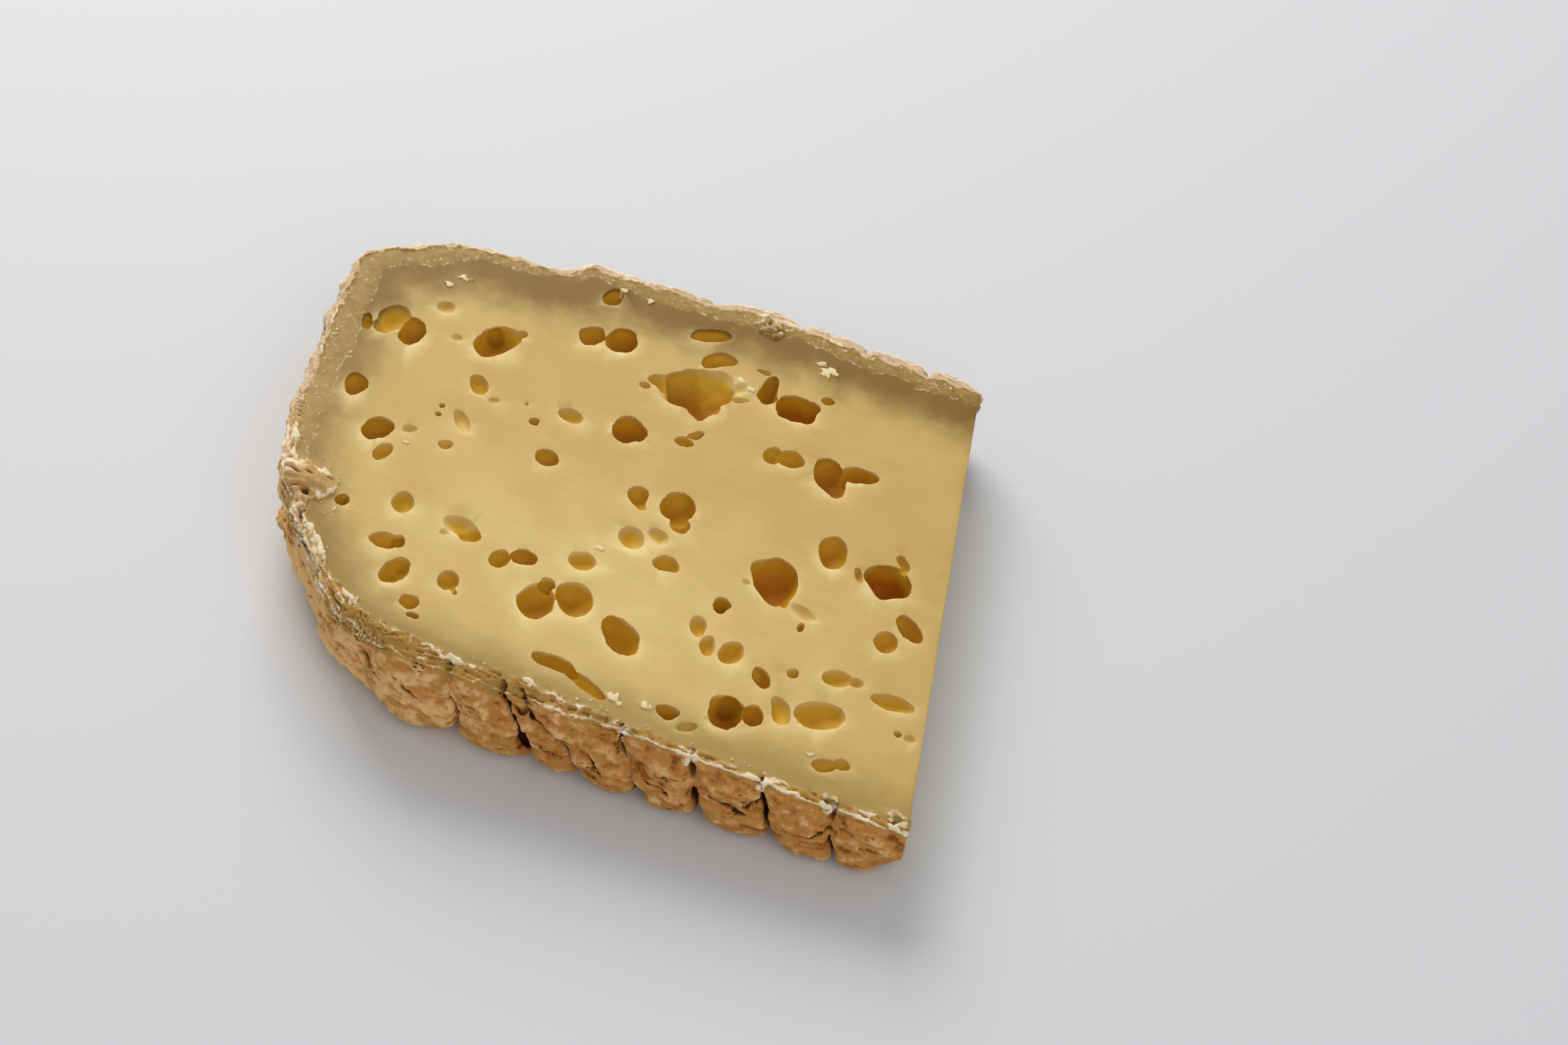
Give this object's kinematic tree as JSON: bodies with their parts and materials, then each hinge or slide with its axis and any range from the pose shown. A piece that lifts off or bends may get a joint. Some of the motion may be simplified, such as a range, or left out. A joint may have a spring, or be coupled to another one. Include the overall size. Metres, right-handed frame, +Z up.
{
  "type": "cooked pressed cheese slab",
  "caption": "Tapered slab cut from a wheel of cooked pressed cheese, with round eyes in its cut faces and furrowed, crumpled rind on three sides.",
  "frame": {"origin": "on the surface the slab lies on, under the middle of its bounding box", "axes": "+X from the outer rind to the narrow cut, +Y across the wheel to its far face, +Z up out of the upper cut face"},
  "size_m": [0.15, 0.1224, 0.0263],
  "materials": {
    "paste": "matte, faintly waxy, pale yellow"
  },
  "bodies": {
    "root": {"cheese_slab": "paste"}
  },
  "joints": []
}
